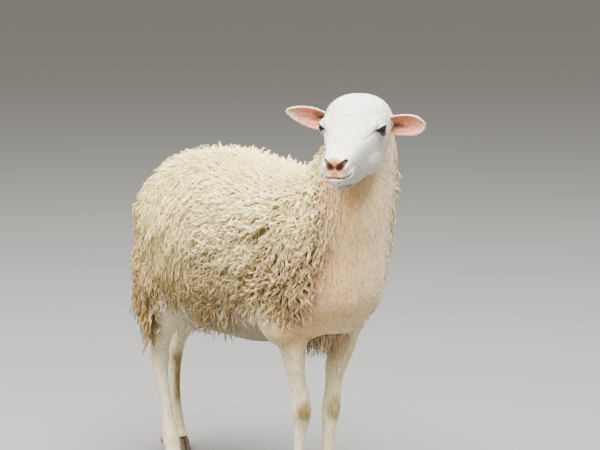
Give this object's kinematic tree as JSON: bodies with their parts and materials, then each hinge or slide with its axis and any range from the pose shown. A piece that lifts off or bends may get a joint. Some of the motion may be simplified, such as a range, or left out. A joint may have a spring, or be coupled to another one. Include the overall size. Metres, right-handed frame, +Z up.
{
  "type": "young unshorn woolly sheep, still museum model",
  "caption": "Life-size young woolly sheep standing square, head raised and turned to its right, with a long matted fleece on the trunk and a short smooth coat on face, neck front and legs.",
  "frame": {"origin": "on the floor, under the middle of the whole animal's box", "axes": "+X the way the body faces, +Y the animal's left side, +Z up"},
  "size_m": [0.8859, 0.299, 0.7969],
  "materials": {
    "fleece": "long curly wool, cream with tan tips",
    "skin": "short white hair over pink skin",
    "ear": "thin pink skin with a white hair rim",
    "eye": "wet gloss",
    "horn": "dull dark horn"
  },
  "bodies": {
    "root": {"trunk": "fleece", "tail": "fleece", "neck": "skin", "head": "skin", "leg_front_left": "skin", "leg_front_right": "skin", "leg_hind_left": "skin", "leg_hind_right": "skin", "ear_left": "ear", "ear_right": "ear", "eye_left": "eye", "eye_right": "eye", "hoof_front_left_outer": "horn", "hoof_front_left_inner": "horn", "hoof_front_right_outer": "horn", "hoof_front_right_inner": "horn", "hoof_hind_left_outer": "horn", "hoof_hind_left_inner": "horn", "hoof_hind_right_outer": "horn", "hoof_hind_right_inner": "horn", "dewclaw_front_left_outer": "horn", "dewclaw_front_left_inner": "horn", "dewclaw_front_right_outer": "horn", "dewclaw_front_right_inner": "horn", "dewclaw_hind_left_outer": "horn", "dewclaw_hind_left_inner": "horn", "dewclaw_hind_right_outer": "horn", "dewclaw_hind_right_inner": "horn"}
  },
  "joints": []
}
